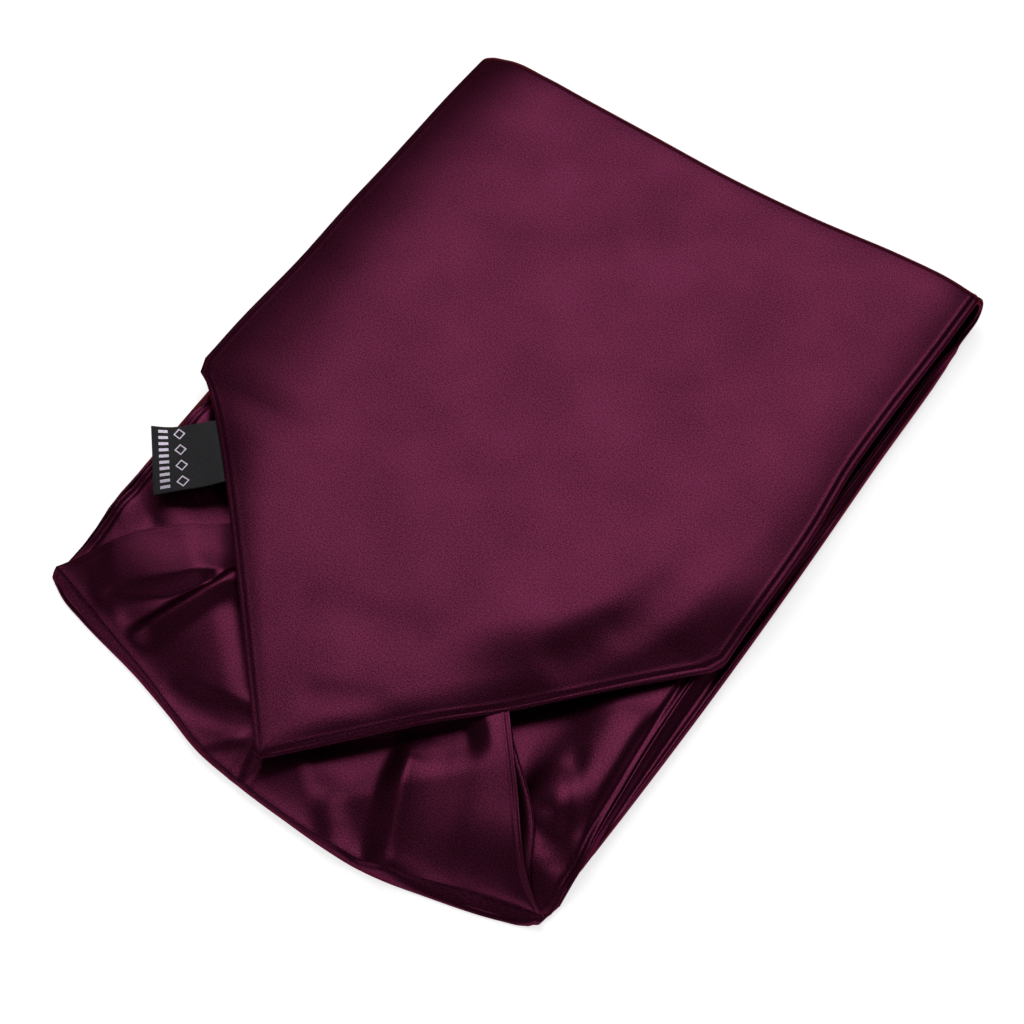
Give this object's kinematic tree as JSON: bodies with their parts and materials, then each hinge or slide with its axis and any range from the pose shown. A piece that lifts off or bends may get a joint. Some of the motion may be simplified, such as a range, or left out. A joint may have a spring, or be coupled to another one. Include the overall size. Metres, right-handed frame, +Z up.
{
  "type": "folded silk cravat",
  "caption": "Plum satin day cravat folded flat, its pointed blade on top over a pleated fan, with a woven tab in the seam of the point.",
  "frame": {"origin": "on the flat underside, in the middle of the folded cravat", "axes": "+Y runs along the folded band from the near fold to the far fold, +X across it, +Z up from the surface it lies on"},
  "size_m": [0.1607, 0.2238, 0.0131],
  "materials": {
    "satin": "plum silk satin with a soft sheen",
    "woven_tape": "matt black woven tape"
  },
  "bodies": {
    "root": {"front_face": "satin", "front_back": "satin", "under_face": "satin", "under_back": "satin", "fan_face": "satin", "fan_back": "satin", "hidden_layers": "satin", "care_label": "woven_tape"}
  },
  "joints": []
}
